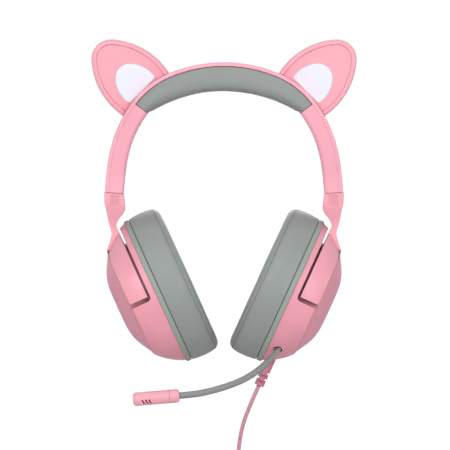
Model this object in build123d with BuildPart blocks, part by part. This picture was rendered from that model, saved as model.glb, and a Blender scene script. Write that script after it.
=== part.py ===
from build123d import *
import os
from math import cos, pi, radians, sin, tan

# A wired over-ear gaming headset with clip-on animal ears and a bendable microphone.
# Millimetres, +Z up, +X to the wearer's left, -Y to the wearer's front.
# The origin is the middle of the underside of the crown pad, where the head carries it.

os.makedirs("parts", exist_ok=True)

# Headband: its outside face is a chain of tangent arcs from the crown down each side.
BAND_TOP = 20.0
BAND_RADII = (100.0, 62.0, 88.0, 125.0)
BAND_TURNS = (22.0, 30.0, 24.0, 9.0)
BAND_TURN = sum(BAND_TURNS)
BAND_RUN = 11.9
BAND_THICK = 13.3
CROWN_WIDTH = 36.0
END_WIDTH = 27.0
COVER_THICK = 2.8
PLATE_THICK = 3.2
PLATE_WIDTH = 24.0
SPRING_THICK = 0.8
SPRING_WIDTH = 12.0
SPRING_TURN = 62.0
PAD_TURN = 52.6
PAD_INSET = 1.0
PAD_ROUND = 4.0
WALL = 2.2
END_WALL = 3.0
GAP = 0.2

# Slider: a steel strip runs up into the side of the band, along the band's straight end.
STRIP_THICK = 2.0
STRIP_WIDTH = 16.0
STRIP_DEPTH = 8.0
STRIP_ABOVE = 40.0
STRIP_BELOW = 12.0
STRIP_CLEAR = 0.25
SEAM = 0.25
DETENT_STEP = 5.0
BLOCK_PROUD = 0.4
BLOCK_NARROWER = 0.5
RIB_COUNT = 5
RIB_STEP = 1.3
RIB_SIZE = (0.4, 10.0, 0.2)
RIB_CENTRE = 0.55  # of the band's thickness

# Ears
EAR_FOOT = (56.1, -0.6)
EAR_LEAN = 45.0
EAR_SHAPE = (46.2, 13.8, 50.0)  # tip height, tip radius, side radius
DIFFUSER_SHAPE = (23.9, 10.2, 22.2)
TIP_TURN = 47.9
SIDE_TURN = 63.0
EAR_HALF = 6.5
EAR_WALL = 2.0
EAR_RIM = 3.4
EAR_DISH = 1.3
EAR_DISH_TAPER = 18
EAR_SKIN = 1.3
EAR_ROUND = (2.2, 3.2)  # front and back edges
DIFFUSER_FOOT = 1.2
DIFFUSER_CORNER = 1.8
DIFFUSER_PROUD = 0.5
DIFFUSER_FLANGE = 1.2
FIT = 0.05
LAMP_BOARD = (17.0, 18.0, 1.2)
LAMP_SIZE = (2.8, 2.8, 0.7)
LAMP_GRID = (9.0, 10.0)
LAMP_CENTRE = 11.5
CLIP_WIDTH = 16.0
CLIP_THICK = 5.0
CLIP_DEPTH = 4.4
CLIP_CLEAR = 0.2

# Ear cups: local x runs down the cup, local z outwards from the cushion joint.
CUP_LEAN = 24.5
CUP_CENTRE = (48.1, -140.5)
HOUSING_SECTIONS = ((0.0, 52.5, 45.0), (5.4, 50.1, 44.8), (12.0, 45.9, 44.2), (19.6, 38.6, 42.0))
HOUSING_TOP = 19.6
HOUSING_WALL = 2.6
ROOF = 2.4
CORE = (39.7, 36.5)
CORE_WALL = 2.5
POCKET_FLOOR = 4.2
POCKET_END = 4.0
ARM_FLOOR = 6.0
ARM_END = 1.0
FORK_GAP = (1.5, 0.7)
PIVOT = (-5.0, 12.8)
PIN_RADIUS = 2.0
PIN_CLEAR = 0.05
PIN_INNER = 32.0
PIN_OUTER = 43.2
BOSS_RADIUS = 5.2
# the dome is narrow enough to swing between the yoke's arms
DOME_SECTIONS = (
    (19.7, 37.2, 36.2),
    (23.3, 30.8, 29.8),
    (26.3, 24.6, 23.7),
    (28.1, 17.0, 16.3),
    (28.9, 7.0, 6.6),
)
HOLLOW_SECTIONS = ((19.7, 34.4, 33.4), (21.4, 30.0, 29.0), (24.0, 23.0, 22.2), (25.4, 15.0, 14.4))
BADGE_RADIUS = 12.0
BADGE_LOW = 27.6
BADGE_THICK = 0.9
LIP = 3.8
LIP_WALL = 3.3
RING_PROUD = 1.2
BAFFLE_THICK = 2.4
SCREEN_THICK = 0.8
CUSHION_SECTIONS = (
    (-3.8, 53.3, 46.0),
    (-8.0, 55.2, 47.8),
    (-15.0, 55.4, 48.0),
    (-22.0, 55.0, 47.6),
    (-26.5, 52.0, 44.6),
)
OPENING_SECTIONS = ((-3.8, 34.0, 27.0), (-15.0, 33.0, 26.0), (-26.5, 35.5, 28.5))
DRIVER_RADIUS = 25.0
MAGNET_RADIUS = 13.0
SCREW_PLACE = (30.0, 27.5)
SCREW_RADIUS = 1.0
SCREW_HEAD = 1.9
SCREW_HEAD_HEIGHT = 1.4
SCREW_DEPTH = 3.0
SCREW_POST = 3.2

# Controls and leads on the wearer's left cup
WHEEL_PLACE = (18.2, 34.0)
WHEEL_RADIUS = 8.0
WHEEL_LOW = 7.6
WHEEL_THICK = 4.4
SHAFT_RADIUS = 1.5
POT_LOW = 3.6
POT_HEIGHT = 3.4
POT_RADIUS = 4.0
BUTTON_ANGLE = 43.5
BUTTON_PLACE = (36.0, 29.4, 9.5)
BUTTON_RADIUS = 3.5
BUTTON_DEPTH = 4.6
BUTTON_PROUD = 1.0
BUTTON_FLANGE = 1.6
BOOM_RADIUS = 2.3
BOOM_HOLE = 2.6
BOOM_PLACE = (40.4, -24.9, 7.5)
SOCKET_WALL = 0.7
SOCKET_DEPTH = 10.0
CAPSULE_RADIUS = 4.7
CAPSULE_LENGTH = 25.1
CAPSULE_WALL = 1.0
COLLAR_LENGTH = 7.2
SLOT_SIZE = (3.9, 0.9)
SLOT_STEP = 2.3
SLOT_LEAN = 115
RELIEF_HEIGHT = 5.6
RELIEF_START = 50.4
RELIEF_END = 69.5
RELIEF_INSIDE = 8.0
RELIEF_RADIUS = 3.4
RELIEF_FLANGE = 1.6
RELIEF_STEP = 2.25
RELIEF_SLOTS = 4
RELIEF_SLOT = 1.1
RELIEF_WEB = 2.1
CABLE_RADIUS = 1.4

# Put-away length of the cable: a tied coil hanging on the cable, then the plug
COIL_LAYERS = (14.0, 16.9, 19.8)
COIL_COLUMNS = 6
COIL_PITCH = 2.95
COIL_CENTRE = (-10.3, 7.4, -282.0)
TAIL_LENGTH = 24.0
PLUG_BODY = (15.6, 8.0, 27.0)
PLUG_SHELL = (12.0, 4.5, 12.0)


def save(builder, label):
    builder.part.label = label
    export_step(builder.part, f"parts/{label}.step")


# ------------------------------------------------------------------ headband outline


def band_point(offset, turn):
    """Point of the right half of the band, at an inward offset, where it has turned so far."""
    x, z, done = 0.0, BAND_TOP - offset, 0.0
    for radius, step in zip(BAND_RADII, BAND_TURNS):
        now = min(done + step, max(turn, done))
        r = radius - offset
        x += r * (sin(radians(now)) - sin(radians(done)))
        z -= r * (cos(radians(done)) - cos(radians(now)))
        done += step
    return (x, z)


def band_line(offset, first, last):
    """Draws the band's arcs at an offset between two turns, in the current BuildLine."""
    done = 0.0
    for radius, step in zip(BAND_RADII, BAND_TURNS):
        low, high = max(first, done), min(last, done + step)
        if high > low:
            heading = (cos(radians(low)), -sin(radians(low)))
            JernArc(band_point(offset, low), heading, radius - offset, low - high)
        done += step


def band_tip(offset, run=BAND_RUN):
    """Point on the straight end of the band, a run below the last arc."""
    x, z = band_point(offset, BAND_TURN)
    slope = radians(BAND_TURN)
    return (x + run * cos(slope), z - run * sin(slope))


def band_slab(outer, inner, first, last, run=0.0):
    """Outline of a layer of the band between two offsets and two turns, one half."""
    band_line(outer, first, last)
    band_line(inner, first, last)
    Line(band_point(outer, first), band_point(inner, first))
    if run:
        Polyline(
            band_point(outer, last), band_tip(outer, run), band_tip(inner, run), band_point(inner, last)
        )
    else:
        Line(band_point(outer, last), band_point(inner, last))


def side_plane(side, run=BAND_RUN):
    """Plane at the band's end: local z along the slide (down), local x outwards."""
    x, z = band_tip(0.0, run)
    slope = radians(BAND_TURN)
    down = (side * cos(slope), 0, -sin(slope))
    out = (side * sin(slope), 0, cos(slope))
    return Plane(origin=(side * x, 0, z), x_dir=out, z_dir=down)


def width_outline():
    """Side view of the band: full width at the crown, narrower at its ends."""
    crown, end = CROWN_WIDTH / 2, END_WIDTH / 2
    half = [(crown, BAND_TOP + 5), (crown, -5), (end, -60), (end, -90)]
    Polyline(*half, *[(-y, z) for y, z in reversed(half)], close=True)


SIDES = {"left": 1, "right": -1}

# ------------------------------------------------------------------ headband


def ear_plane(side):
    """Plane of an ear: local x outwards along the ear's axis, local z to the front."""
    lean = radians(EAR_LEAN)
    axis = (side * sin(lean), 0, cos(lean))
    return Plane(origin=(side * EAR_FOOT[0], 0, EAR_FOOT[1]), x_dir=axis, z_dir=(0, -1, 0))


def clip_plane(side):
    """Plane across an ear's axis at its foot: local x along world Y, local z along the axis."""
    face = ear_plane(side)
    return Plane(face.origin, x_dir=(0, 1, 0), z_dir=face.x_dir)


def clip_tool(side):
    """Block that cuts the hole for an ear's clip through the band."""
    with BuildPart() as body:
        with BuildSketch(clip_plane(side)):
            Rectangle(CLIP_THICK + 2 * CLIP_CLEAR, CLIP_WIDTH + 2 * CLIP_CLEAR)
        extrude(amount=12, both=True)
    return body.part


def mirrored_slab(outer, inner, first, last, run, half_width):
    """A layer of the band on both sides, this wide front to back."""
    with BuildPart() as body:
        with BuildSketch(Plane.XZ):
            with BuildLine():
                band_slab(outer, inner, first, last, run)
            make_face()
            mirror(about=Plane.YZ)
        extrude(amount=half_width, both=True)
    return body.part


def band_envelope():
    """Block with the band's side view, wide at the crown and narrower at its ends."""
    with BuildPart() as body:
        with BuildSketch(Plane.YZ):
            with BuildLine():
                width_outline()
            make_face()
        extrude(amount=100, both=True)
    return body.part


CROWN_HALF = CROWN_WIDTH / 2
COVER_ROUND = 1.6
FRAME_ROUND = 3.0


def long_edges(builder, offset):
    """The front and back edges of a band layer that run along the band at an offset."""
    with BuildLine(Plane.XZ, mode=Mode.PRIVATE) as run_line:
        band_line(offset, 0.0, BAND_TURN)
        Line(band_point(offset, BAND_TURN), band_tip(offset))

    def on_line(edge):
        middle = edge @ 0.5
        flat = Vector(abs(middle.X), 0, middle.Z)
        return abs(middle.Y) > 5 and run_line.line.distance_to(flat) < 0.05

    return builder.edges().filter_by(on_line)


with BuildPart() as headband_cover:
    add(mirrored_slab(0.0, COVER_THICK, 0.0, BAND_TURN, BAND_RUN, CROWN_HALF))
    add(band_envelope(), mode=Mode.INTERSECT)
    fillet(long_edges(headband_cover, 0.0), COVER_ROUND)
    for side in SIDES.values():
        add(clip_tool(side), mode=Mode.SUBTRACT)
save(headband_cover, "headband_cover")

with BuildPart() as headband_frame:
    add(mirrored_slab(COVER_THICK, BAND_THICK, PAD_TURN + 0.4, BAND_TURN, BAND_RUN, CROWN_HALF))
    add(band_envelope(), mode=Mode.INTERSECT)
    fillet(long_edges(headband_frame, BAND_THICK), FRAME_ROUND)
    # hollow of each side, open under the cover and closed by a wall at the band's end
    hollow = (COVER_THICK, BAND_THICK - WALL, PAD_TURN + 3.0, BAND_TURN, BAND_RUN - END_WALL)
    add(mirrored_slab(*hollow, END_WIDTH / 2 - WALL), mode=Mode.SUBTRACT)
    add(mirrored_slab(COVER_THICK, COVER_THICK + PLATE_THICK, 0.0, PAD_TURN + 2.0, 0.0, PLATE_WIDTH / 2))
    # groove for the spring strip
    groove = (COVER_THICK, COVER_THICK + SPRING_THICK, 0.0, SPRING_TURN, 0.0)
    add(mirrored_slab(*groove, SPRING_WIDTH / 2), mode=Mode.SUBTRACT)
    for side in SIDES.values():
        with BuildSketch(side_plane(side).offset(-END_WALL - 2)):
            with Locations((-STRIP_DEPTH, 0)):
                Rectangle(STRIP_THICK + 2 * STRIP_CLEAR, STRIP_WIDTH + 2 * STRIP_CLEAR)
        extrude(amount=10, mode=Mode.SUBTRACT)
        add(clip_tool(side), mode=Mode.SUBTRACT)
save(headband_frame, "headband_frame")

with BuildPart() as headband_spring:
    add(mirrored_slab(*groove, SPRING_WIDTH / 2))
    for side in SIDES.values():
        add(clip_tool(side), mode=Mode.SUBTRACT)
save(headband_spring, "headband_spring")

with BuildPart() as headband_pad:
    with BuildSketch(Plane.XZ):
        with BuildLine():
            band_line(COVER_THICK + GAP, 0.0, PAD_TURN)
            Line(band_point(COVER_THICK + GAP, PAD_TURN), band_point(BAND_THICK, PAD_TURN))
            TangentArc((0, 0), band_point(BAND_THICK, PAD_TURN), tangent=(1, 0))
            Line((0, 0), (0, BAND_TOP - COVER_THICK - GAP))
        make_face()
        mirror(about=Plane.YZ)
    extrude(amount=CROWN_HALF - PAD_INSET, both=True)
    underside = headband_pad.edges().filter_by(lambda e: abs((e @ 0.5).Y) > 5)
    fillet(underside.filter_by(lambda e: (e @ 0.5).Z < 1 and e.length > 20), PAD_ROUND)
    recess = (COVER_THICK, COVER_THICK + PLATE_THICK + GAP, 0.0, PAD_TURN + 1.0, 0.0)
    add(mirrored_slab(*recess, PLATE_WIDTH / 2 + GAP), mode=Mode.SUBTRACT)
save(headband_pad, "headband_pad")

# ------------------------------------------------------------------ ears


def ear_line(shape, inset=0.0):
    """Ogive outline about the ear's local x axis, drawn in the current BuildLine."""
    tip, tip_radius, side_radius = shape
    for way in (1, -1):
        nose = JernArc((tip - inset, 0), (0, way), tip_radius - inset, way * TIP_TURN)
        flank = JernArc(nose @ 1, nose % 1, side_radius - inset, way * SIDE_TURN)
        Line(flank @ 1, ((flank @ 1).X, 0))


def window(foot, inset=0.0):
    """The diffuser's outline in the current sketch, cut off at its foot with round corners."""
    with BuildSketch(mode=Mode.PRIVATE) as outline:
        with BuildLine():
            ear_line(DIFFUSER_SHAPE, inset)
        make_face()
        with Locations((foot - 20, 0)):
            Rectangle(40, 60, mode=Mode.SUBTRACT)
        fillet(outline.vertices().group_by(Axis.X)[0], DIFFUSER_CORNER)
    add(outline.sketch_local)


LAMP_HEIGHT = -0.2
diffuser_floor = EAR_HALF - EAR_DISH - EAR_SKIN
front_of = Axis((0, 0, 0), (0, -1, 0))
back_of = Axis((0, 0, 0), (0, 1, 0))

for name, side in SIDES.items():
    face = ear_plane(side)

    # everything the ear must stay clear of: the band, a seam's width outside its face
    seat = mirrored_slab(-SEAM, 25.0, 0.0, BAND_TURN, 0.0, 40)

    with BuildPart() as ear_front_shell:
        with BuildSketch(face):
            with BuildLine():
                ear_line(EAR_SHAPE)
            make_face()
        extrude(amount=EAR_HALF)
        rim = ear_front_shell.faces().sort_by(front_of)[-1].edges().filter_by(GeomType.CIRCLE)
        fillet(rim, EAR_ROUND[0])
        with BuildSketch(face.offset(EAR_HALF)):
            with BuildLine():
                ear_line(EAR_SHAPE, inset=EAR_RIM)
            make_face()
        extrude(amount=-EAR_DISH, taper=EAR_DISH_TAPER, mode=Mode.SUBTRACT)
        with BuildSketch(face):
            with BuildLine():
                ear_line(EAR_SHAPE, inset=EAR_WALL)
            make_face()
        extrude(amount=diffuser_floor, mode=Mode.SUBTRACT)
        add(seat, mode=Mode.SUBTRACT)
        with BuildSketch(face):
            window(DIFFUSER_FOOT)
        extrude(amount=EAR_HALF, mode=Mode.SUBTRACT)
    save(ear_front_shell, f"ear_front_shell_{name}")

    with BuildPart() as ear_back_shell:
        with BuildSketch(face):
            with BuildLine():
                ear_line(EAR_SHAPE)
            make_face()
        extrude(amount=-EAR_HALF)
        rim = ear_back_shell.faces().sort_by(back_of)[-1].edges().filter_by(GeomType.CIRCLE)
        fillet(rim, EAR_ROUND[1])
        with BuildSketch(face):
            with BuildLine():
                ear_line(EAR_SHAPE, inset=EAR_WALL)
            make_face()
        extrude(amount=-EAR_HALF + EAR_WALL, mode=Mode.SUBTRACT)
        add(seat, mode=Mode.SUBTRACT)
    save(ear_back_shell, f"ear_back_shell_{name}")

    with BuildPart() as ear_diffuser:
        with BuildSketch(face.offset(diffuser_floor)):
            window(DIFFUSER_FOOT + FIT, inset=FIT)
        extrude(amount=EAR_SKIN + DIFFUSER_PROUD)
        fillet(ear_diffuser.faces().sort_by(front_of)[-1].edges(), DIFFUSER_PROUD - 0.1)
        # flange behind the shell's skin
        with BuildSketch(face.offset(diffuser_floor)):
            window(DIFFUSER_FOOT, inset=-DIFFUSER_FLANGE)
        extrude(amount=-0.8)
    save(ear_diffuser, f"ear_diffuser_{name}")

    with BuildPart() as ear_light_board:
        with BuildSketch(face.offset(LAMP_HEIGHT - LAMP_BOARD[2])):
            with Locations((LAMP_CENTRE, 0)):
                RectangleRounded(LAMP_BOARD[0], LAMP_BOARD[1], 2)
        extrude(amount=LAMP_BOARD[2])
        with BuildSketch(face.offset(LAMP_HEIGHT)):
            with Locations((LAMP_CENTRE, 0)):
                with GridLocations(*LAMP_GRID, 2, 2):
                    Rectangle(LAMP_SIZE[0], LAMP_SIZE[1])
        extrude(amount=LAMP_SIZE[2])
    save(ear_light_board, f"ear_light_board_{name}")

    with BuildPart() as ear_clip:
        with BuildSketch(clip_plane(side).offset(-CLIP_DEPTH)):
            RectangleRounded(CLIP_THICK, CLIP_WIDTH, 1.0)
        extrude(amount=CLIP_DEPTH + 1.0)
        chamfer(ear_clip.faces().sort_by(Axis(face.origin, face.x_dir))[0].edges(), 0.5)
    save(ear_clip, f"ear_clip_{name}")

# ------------------------------------------------------------------ cups, sliders, yokes


def cup_down(side):
    lean = radians(CUP_LEAN)
    return (-side * sin(lean), 0, -cos(lean))


def cup_out(side):
    lean = radians(CUP_LEAN)
    return (side * cos(lean), 0, -sin(lean))


def cup_plane(side):
    """Local x down the cup, local y along world Y, local z outwards."""
    return Plane(origin=(side * CUP_CENTRE[0], 0, CUP_CENTRE[1]), x_dir=cup_down(side), z_dir=cup_out(side))


def profile_plane(side):
    """Front view of the cup: local x down the cup, local y outwards."""
    return Plane(origin=(side * CUP_CENTRE[0], 0, CUP_CENTRE[1]), x_dir=cup_down(side), z_dir=(0, -side, 0))


def cup_point(side, along, across, out):
    """World place of a point given down the cup, across it and outwards from it."""
    lean = radians(CUP_LEAN)
    x = CUP_CENTRE[0] - along * sin(lean) + out * cos(lean)
    z = CUP_CENTRE[1] - along * cos(lean) - out * sin(lean)
    return (side * x, across, z)


def pin_plane(side, way, across):
    """Plane across the pivot's axis, at a distance from the cup's middle."""
    return Plane(cup_point(side, PIVOT[0], way * across, PIVOT[1]), z_dir=(0, way, 0))


def post(plane, radius, height):
    with BuildPart() as body:
        with BuildSketch(plane):
            Circle(radius)
        extrude(amount=height)
    return body.part


def oval_loft(plane, sections, inset=0.0):
    """Solid through a stack of ovals, each given as height, half length and half width."""
    with BuildPart() as body:
        for height, along, across in sections:
            with BuildSketch(plane.offset(height)):
                Ellipse(along - inset, across - inset)
        loft()
    return body.part


def oval_block(plane, low, high, along, across):
    with BuildPart() as body:
        with BuildSketch(plane.offset(low)):
            Ellipse(along, across)
        extrude(amount=high - low)
    return body.part


def profile_block(side, low_x, high_x, low_z, high_z, corner=0.0):
    """Block through the whole cup, seen as a rectangle in the front view."""
    with BuildPart() as body:
        with BuildSketch(profile_plane(side)) as outline:
            with BuildLine():
                Polyline((low_x, low_z), (high_x, low_z), (high_x, high_z), (low_x, high_z), close=True)
            make_face()
            if corner:
                lowest = outline.vertices().group_by(Axis.Y)[0].sort_by(Axis.X)[-1]
                fillet(lowest, corner)
        extrude(amount=60, both=True)
    return body.part


def height_plane(side, along, across, height):
    """Plane across the cup's axis at a point given down the cup, across it and outwards."""
    return Plane(cup_point(side, along, across, height), x_dir=cup_down(side), z_dir=cup_out(side))


def button_plane():
    """The mute button's plane on the left cup, facing backwards and down."""
    down, turn = Vector(*cup_down(1)), radians(BUTTON_ANGLE)
    press = down * cos(turn) + Vector(0, 1, 0) * sin(turn)
    return Plane(cup_point(1, *BUTTON_PLACE), x_dir=cup_out(1), z_dir=press)


def boom_plane():
    """The plane of the hole that the boom leaves, facing forwards and down."""
    down, out = Vector(*cup_down(1)), Vector(*cup_out(1))
    way = (down * 0.80 - Vector(0, 1, 0) * 0.56 - out * 0.22).normalized()
    return Plane(cup_point(1, *BOOM_PLACE), z_dir=way)


for name, side in SIDES.items():
    cup = cup_plane(side)
    slide = side_plane(side)
    out_axis = Axis(cup.origin, cup.z_dir)

    # ---------------- slider strip
    with BuildPart() as slider_strip:
        strip_face = Plane(slide.origin, x_dir=slide.z_dir, z_dir=slide.x_dir)
        with BuildSketch(strip_face.offset(-STRIP_DEPTH - STRIP_THICK / 2)):
            with Locations(((STRIP_BELOW - STRIP_ABOVE) / 2, 0)):
                RectangleRounded(STRIP_ABOVE + STRIP_BELOW, STRIP_WIDTH, 2.5)
            with Locations((-STRIP_ABOVE / 2 - 4, 0)):
                with GridLocations(DETENT_STEP, STRIP_WIDTH, 6, 2):
                    Circle(0.9, mode=Mode.SUBTRACT)
            with Locations((STRIP_BELOW / 2, -4), (STRIP_BELOW / 2, 4)):
                Circle(1.25, mode=Mode.SUBTRACT)
        extrude(amount=STRIP_THICK)
    save(slider_strip, f"slider_strip_{name}")

    # ---------------- yoke: block, neck and fork in one moulding
    envelope = oval_loft(cup, HOUSING_SECTIONS)
    fork_region = profile_block(side, -60, ARM_END, ARM_FLOOR, HOUSING_TOP)
    fork_hollow = oval_block(cup, 0, 30, CORE[0] + FORK_GAP[0], CORE[1] + FORK_GAP[1])
    fork = envelope & fork_region
    fork = fork - fork_hollow

    def front(along, out):
        """Front-view point of the cup as world X and Z on this side."""
        x, _, z = cup_point(side, along, 0, out)
        return (x, z)

    block_half = END_WIDTH / 2 - BLOCK_NARROWER
    with BuildPart() as yoke:
        with BuildSketch(Plane.XZ):
            block_top = slide.origin + slide.z_dir * SEAM
            outer = block_top + slide.x_dir * BLOCK_PROUD
            inner = block_top - slide.x_dir * (BAND_THICK + 0.1)
            with BuildLine():
                a = Line((inner.X, inner.Z), (outer.X, outer.Z))
                b = Line(a @ 1, (side * 83.6, -78.5))
                c = Spline(
                    b @ 1,
                    (side * 81.9, -85.6),
                    (side * 80.1, -93.75),
                    (side * 78.7, -99.6),
                    front(-46.3, 13.2),
                    front(-43.4, 15.8),
                    front(-39.6, 19.5),
                )
                d = Line(c @ 1, front(-42.6, ARM_FLOOR))
                e = Line(d @ 1, front(-52.2, ARM_FLOOR))
                f = Spline(
                    e @ 1,
                    (side * 74.6, -91.2),
                    (side * 72.6, -88.3),
                    (side * 69.7, -84.2),
                    (side * 69.3, -80.0),
                )
                Line(f @ 1, a @ 0)
            make_face()
        extrude(amount=block_half, both=True)
        # side view: the block narrows to the neck, then spreads into the fork
        with BuildSketch(Plane.YZ):
            with BuildLine():
                ends = []
                for way in (1, -1):
                    top = Line((way * block_half, -60), (way * block_half, -78))
                    waist = Spline(
                        top @ 1,
                        (way * 10.6, -90),
                        (way * 10.4, -98),
                        (way * 13.0, -107),
                        tangents=((0, -1), (way * 0.4, -1)),
                    )
                    bottom = Line(waist @ 1, (way * 13.0, -120))
                    ends.append((top @ 0, bottom @ 1))
                Line(ends[0][0], ends[1][0])
                Line(ends[0][1], ends[1][1])
            make_face()
        extrude(amount=120, both=True, mode=Mode.INTERSECT)
        # shallow grip ribs on the front and back of the block
        for way in (1, -1):
            rib_spot = slide.origin + slide.z_dir * (SEAM + 0.9 + RIB_SIZE[1] / 2)
            rib_spot = rib_spot - slide.x_dir * BAND_THICK * RIB_CENTRE + Vector(0, way * block_half, 0)
            with BuildSketch(Plane(rib_spot, x_dir=slide.x_dir, z_dir=(0, -way, 0))):
                with GridLocations(RIB_STEP, 1, RIB_COUNT, 1):
                    Rectangle(RIB_SIZE[0], RIB_SIZE[1])
            extrude(amount=RIB_SIZE[2], mode=Mode.SUBTRACT)
        add(fork)
        # slot for the strip, open at the top and on the inner side under the cap
        with BuildSketch(slide.offset(SEAM)):
            with Locations((-STRIP_DEPTH, 0)):
                Rectangle(STRIP_THICK, STRIP_WIDTH)
        extrude(amount=STRIP_BELOW + 0.2 - SEAM, mode=Mode.SUBTRACT)
        with BuildSketch(slide.offset(SEAM)):
            with Locations((-BAND_THICK + 1.5, 0)):
                Rectangle(BAND_THICK - STRIP_DEPTH + STRIP_THICK + 1.0, STRIP_WIDTH)
        extrude(amount=STRIP_BELOW + 0.2 - SEAM, mode=Mode.SUBTRACT)
        for way in (1, -1):
            with BuildSketch(pin_plane(side, way, PIN_INNER)):
                Circle(PIN_RADIUS)
            extrude(amount=PIN_OUTER - PIN_INNER, mode=Mode.SUBTRACT)
    save(yoke, f"yoke_{name}")

    # ---------------- cap that closes the block over the strip's foot, with two screws
    with BuildPart() as yoke_cap:
        with BuildSketch(slide.offset(SEAM)):
            depth = BAND_THICK - STRIP_DEPTH - STRIP_THICK / 2
            with Locations((-STRIP_DEPTH - STRIP_THICK / 2 - depth / 2, 0)):
                Rectangle(depth, STRIP_WIDTH)
        extrude(amount=STRIP_BELOW - SEAM)
        inside = yoke_cap.faces().sort_by(Axis(slide.origin, slide.x_dir))[0]
        chamfer(inside.edges(), 0.6)
    save(yoke_cap, f"yoke_cap_{name}")

    with BuildPart() as pivot_pins:
        for way in (1, -1):
            with BuildSketch(pin_plane(side, way, PIN_INNER)):
                Circle(PIN_RADIUS)
            extrude(amount=PIN_OUTER - PIN_INNER - 0.6)
    save(pivot_pins, f"pivot_pins_{name}")

    # ---------------- cup housing
    pocket = profile_block(side, -60, POCKET_END, POCKET_FLOOR, 30, corner=3.0)
    core = oval_block(cup, 0, 30, *CORE)
    pocket = pocket - core
    wide_hollow = oval_loft(cup, HOUSING_SECTIONS, inset=HOUSING_WALL)
    wide_hollow = wide_hollow & profile_block(side, POCKET_END + HOUSING_WALL, 60, -1, HOUSING_TOP - ROOF)
    core_hollow = oval_block(cup, -1, HOUSING_TOP - ROOF, CORE[0] - CORE_WALL, CORE[1] - CORE_WALL)
    for way in (1, -1):
        core_hollow = core_hollow - post(pin_plane(side, way, PIN_INNER - 1.5), BOSS_RADIUS, 8)
        foot = height_plane(side, SCREW_PLACE[0], way * SCREW_PLACE[1], 0)
        wide_hollow = wide_hollow - post(foot, SCREW_POST, HOUSING_TOP)

    with BuildPart() as cup_housing:
        add(envelope)
        chamfer(cup_housing.edges().sort_by(out_axis)[-1], 0.9)
        add(pocket, mode=Mode.SUBTRACT)
        add(wide_hollow, mode=Mode.SUBTRACT)
        add(core_hollow, mode=Mode.SUBTRACT)
        for way in (1, -1):
            with BuildSketch(pin_plane(side, way, PIN_INNER - 3)):
                Circle(PIN_RADIUS + PIN_CLEAR)
            extrude(amount=12, mode=Mode.SUBTRACT)
        # bores for the baffle's screws
        with BuildSketch(cup.offset(-0.5)):
            with GridLocations(2 * SCREW_PLACE[0], 2 * SCREW_PLACE[1], 2, 2):
                Circle(SCREW_RADIUS)
        extrude(amount=SCREW_DEPTH + 0.6, mode=Mode.SUBTRACT)
        if name == "left":
            with BuildSketch(height_plane(side, *WHEEL_PLACE, WHEEL_LOW - 0.4)):
                Circle(WHEEL_RADIUS + 0.5)
            extrude(amount=WHEEL_THICK + 0.8, mode=Mode.SUBTRACT)
            with BuildSketch(button_plane().offset(-12)):
                Circle(BUTTON_RADIUS + 0.1)
            extrude(amount=20, mode=Mode.SUBTRACT)
            with BuildSketch(button_plane().offset(-14)):
                Circle(BUTTON_RADIUS + 1.3)
            extrude(amount=11.4, mode=Mode.SUBTRACT)
            with BuildSketch(boom_plane().offset(-14)):
                Circle(BOOM_HOLE + SOCKET_WALL)
            extrude(amount=24, mode=Mode.SUBTRACT)
            relief_spot = Plane(cup_point(side, RELIEF_START, 0, RELIEF_HEIGHT), z_dir=cup.x_dir)
            with BuildSketch(relief_spot.offset(-9)):
                Circle(RELIEF_RADIUS + 0.1)
            extrude(amount=14, mode=Mode.SUBTRACT)
    save(cup_housing, f"cup_housing_{name}")

    # ---------------- outer cover, a shallow dome with a blank badge
    with BuildPart() as cup_cover:
        add(oval_loft(cup, DOME_SECTIONS))
        add(oval_loft(cup, HOLLOW_SECTIONS), mode=Mode.SUBTRACT)
        with BuildSketch(cup.offset(BADGE_LOW)):
            Circle(BADGE_RADIUS + 0.1)
        extrude(amount=5, mode=Mode.SUBTRACT)
    save(cup_cover, f"cup_cover_{name}")

    with BuildPart() as cup_badge:
        with BuildSketch(cup.offset(BADGE_LOW)):
            Circle(BADGE_RADIUS)
        extrude(amount=BADGE_THICK)
        fillet(cup_badge.edges().sort_by(out_axis)[-1], 0.35)
    save(cup_badge, f"cup_badge_{name}")

    # ---------------- baffle, driver and screen
    with BuildPart() as baffle:
        with BuildSketch(cup.offset(-BAFFLE_THICK)):
            Ellipse(HOUSING_SECTIONS[0][1] - LIP_WALL - 0.2, HOUSING_SECTIONS[0][2] - LIP_WALL - 0.2)
            Circle(DRIVER_RADIUS - 3.5, mode=Mode.SUBTRACT)
            with PolarLocations(30.0, 12, start_angle=15):
                Circle(1.4, mode=Mode.SUBTRACT)
            with GridLocations(2 * SCREW_PLACE[0], 2 * SCREW_PLACE[1], 2, 2):
                Circle(SCREW_RADIUS, mode=Mode.SUBTRACT)
        extrude(amount=BAFFLE_THICK)
        with BuildSketch(cup.offset(-BAFFLE_THICK)):
            with GridLocations(2 * SCREW_PLACE[0], 2 * SCREW_PLACE[1], 2, 2):
                Circle(SCREW_HEAD)
        extrude(amount=SCREW_HEAD_HEIGHT, mode=Mode.SUBTRACT)
    save(baffle, f"baffle_{name}")

    with BuildPart() as baffle_screws:
        for across in (-1, 1):
            for along in (-1, 1):
                place = (along * SCREW_PLACE[0], across * SCREW_PLACE[1], -BAFFLE_THICK)
                spot = height_plane(side, *place)
                with BuildSketch(spot):
                    Circle(SCREW_HEAD)
                extrude(amount=SCREW_HEAD_HEIGHT)
                with BuildSketch(spot.offset(SCREW_HEAD_HEIGHT)):
                    Circle(SCREW_RADIUS)
                extrude(amount=BAFFLE_THICK + SCREW_DEPTH - SCREW_HEAD_HEIGHT)
    save(baffle_screws, f"baffle_screws_{name}")

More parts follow.
